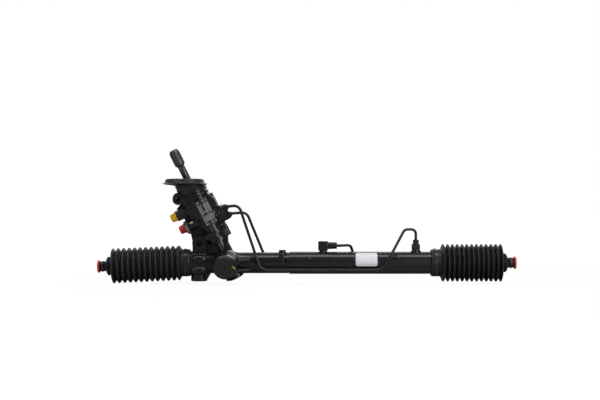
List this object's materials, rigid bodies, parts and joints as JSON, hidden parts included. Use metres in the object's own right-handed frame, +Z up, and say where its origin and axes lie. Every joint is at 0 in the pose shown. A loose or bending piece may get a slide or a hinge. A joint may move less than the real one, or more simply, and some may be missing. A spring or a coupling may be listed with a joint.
{
  "type": "steering rack",
  "caption": "Hydraulic power steering rack with a pinion and rotary valve tower, cylinder barrel, transfer pipes, rubber boots and transit plugs.",
  "frame": {"origin": "on the rack bar's axis, at the middle of the seat on the cylinder barrel that the split mounting clamp holds", "axes": "+X along the rack bar from the pinion towards the cylinder's far end, +Z up, +Y away from the yoke plug"},
  "size_m": [0.8779, 0.1005, 0.2823],
  "materials": {
    "cast_black": "satin black paint over cast aluminium",
    "tube_black": "satin black paint over steel",
    "pipe_black": "satin black coated steel",
    "dark_steel": "black oxide",
    "bright_steel": "ground",
    "shaft_steel": "dark, oiled",
    "bearing_bronze": "bronze-backed",
    "yoke_alloy": "machined",
    "seal_rubber": "matte",
    "boot_rubber": "matte",
    "yellow_plastic": "moulded",
    "red_plastic": "moulded",
    "label_paper": "plain sticker"
  },
  "bodies": {
    "housing": {"pinion_housing": "cast_black", "valve_housing": "cast_black", "cylinder_tube": "tube_black", "outlet_union": "tube_black", "inlet_elbow": "tube_black", "long_pipe": "pipe_black", "short_pipe": "pipe_black", "outlet_nut": "pipe_black", "inlet_nut": "pipe_black", "pipe_plate": "pipe_black", "pinion_end_cap": "dark_steel", "yoke_plug": "dark_steel", "yoke_locknut": "dark_steel", "flange_bolts": "dark_steel", "body_plug": "dark_steel", "pressure_fitting": "dark_steel", "return_fitting": "dark_steel", "left_collar_clamp": "dark_steel", "right_collar_clamp": "dark_steel", "bearing_outer_race": "bright_steel", "bearing_balls": "bright_steel", "needle_bearing": "bright_steel", "input_bearing": "bright_steel", "yoke_spring": "bright_steel", "inner_seal_carrier": "bright_steel", "end_gland": "bright_steel", "rack_bush": "bearing_bronze", "yoke_liner": "bearing_bronze", "yoke": "yoke_alloy", "bulkhead_seal": "seal_rubber", "inner_rack_seal": "seal_rubber", "outer_rack_seal": "seal_rubber", "input_seal": "seal_rubber", "flange_gasket": "seal_rubber", "left_boot": "boot_rubber", "right_boot": "boot_rubber", "pressure_plug": "yellow_plastic", "return_plug": "red_plastic", "label": "label_paper"},
    "rack": {"rack_bar": "bright_steel", "piston": "bright_steel", "piston_ring": "seal_rubber", "piston_snap_rings": "bright_steel"},
    "pinion": {"pinion_shaft": "bright_steel", "pinion_nut": "bright_steel", "bearing_inner_race": "bright_steel", "valve_sleeve": "bright_steel", "sleeve_rings": "seal_rubber"},
    "input_shaft": {"input_shaft": "shaft_steel", "torsion_bar": "bright_steel", "torsion_pin": "bright_steel"},
    "left_boot_end": {"left_end_plug": "red_plastic", "left_neck_clamp": "dark_steel"},
    "right_boot_end": {"right_end_plug": "red_plastic", "right_neck_clamp": "dark_steel"}
  },
  "joints": [
    {"name": "rack_slide", "type": "slide", "parent": "housing", "child": "rack", "axis": [1, 0, 0], "range_m": [-0.068, 0.068]},
    {"name": "pinion_spin", "type": "hinge", "parent": "housing", "child": "pinion", "pos_m": [-0.365, 0.01443, 0.00203], "axis": [-0.4352, -0.1253, 0.8916], "range_deg": [-558.6, 558.6]},
    {"name": "torsion_twist", "type": "hinge", "parent": "pinion", "child": "input_shaft", "pos_m": [-0.365, 0.01443, 0.00203], "axis": [-0.4352, -0.1253, 0.8916], "range_deg": [-3.5, 3.5], "stiffness_Nm_per_rad": 60},
    {"name": "left_boot_stretch", "type": "slide", "parent": "housing", "child": "left_boot_end", "axis": [1, 0, 0], "range_m": [-0.068, 0.018], "stiffness_N_per_m": 300, "deforming": ["left_boot"]},
    {"name": "right_boot_stretch", "type": "slide", "parent": "housing", "child": "right_boot_end", "axis": [1, 0, 0], "range_m": [-0.018, 0.068], "stiffness_N_per_m": 300, "deforming": ["right_boot"]}
  ],
  "couplings": [
    {"joint": "pinion_spin", "follows": "rack_slide", "rad_per_m": 142.86}
  ]
}
